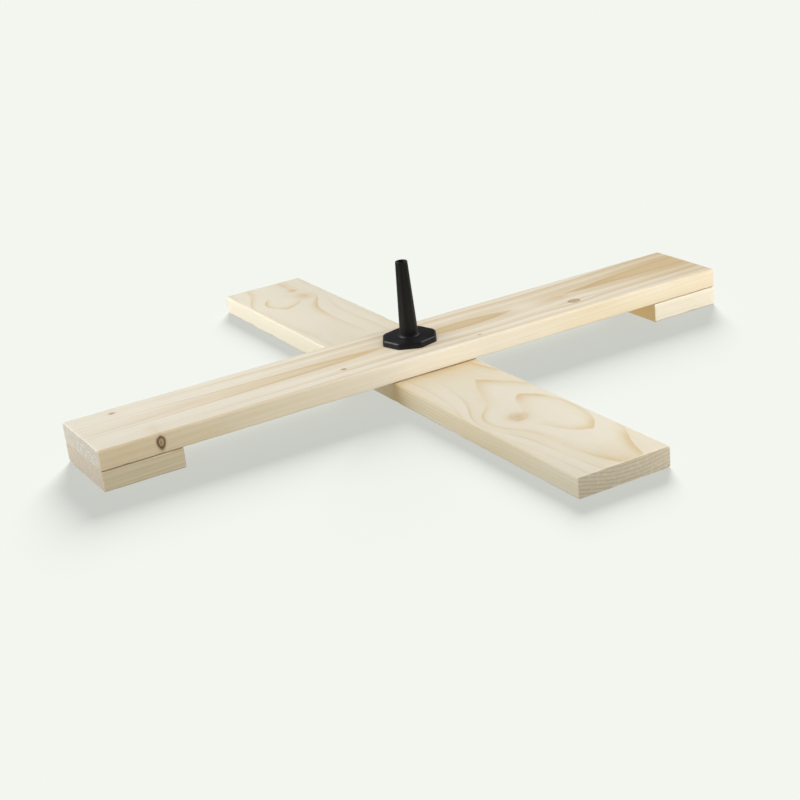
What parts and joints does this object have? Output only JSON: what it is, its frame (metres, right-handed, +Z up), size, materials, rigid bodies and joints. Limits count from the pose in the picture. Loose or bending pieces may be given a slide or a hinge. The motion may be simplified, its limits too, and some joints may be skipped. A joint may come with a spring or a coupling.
{
  "type": "wooden cross stand",
  "caption": "Low wooden cross of two lapped boards with foot blocks and a tapered upright plastic spigot, which holds a tree or pole that has a hole up its middle.",
  "frame": {"origin": "on the floor, under the spigot's axis, which is the middle of the crossing and of the overall box", "axes": "+Z up, +X along the upper board towards the right-hand foot block, +Y along the lower board, away from the viewer"},
  "size_m": [0.7, 0.7, 0.123],
  "materials": {
    "pale_board": "planed, uncoated pale softwood",
    "tan_board": "planed, uncoated softwood with pink and tan stripes",
    "block_board": "planed, uncoated softwood with sawn ends",
    "black_plastic": "satin moulded plastic",
    "zinc_steel": "bright zinc plate"
  },
  "bodies": {
    "root": {"lower_arm": "pale_board", "upper_arm": "tan_board", "left_foot_block": "block_board", "right_foot_block": "block_board", "spigot": "black_plastic", "spigot_screw": "zinc_steel", "spigot_washer": "zinc_steel", "crossing_screw_1": "zinc_steel", "crossing_screw_2": "zinc_steel", "crossing_screw_3": "zinc_steel", "crossing_screw_4": "zinc_steel", "left_block_screw_1": "zinc_steel", "left_block_screw_2": "zinc_steel", "right_block_screw_1": "zinc_steel", "right_block_screw_2": "zinc_steel"}
  },
  "joints": []
}
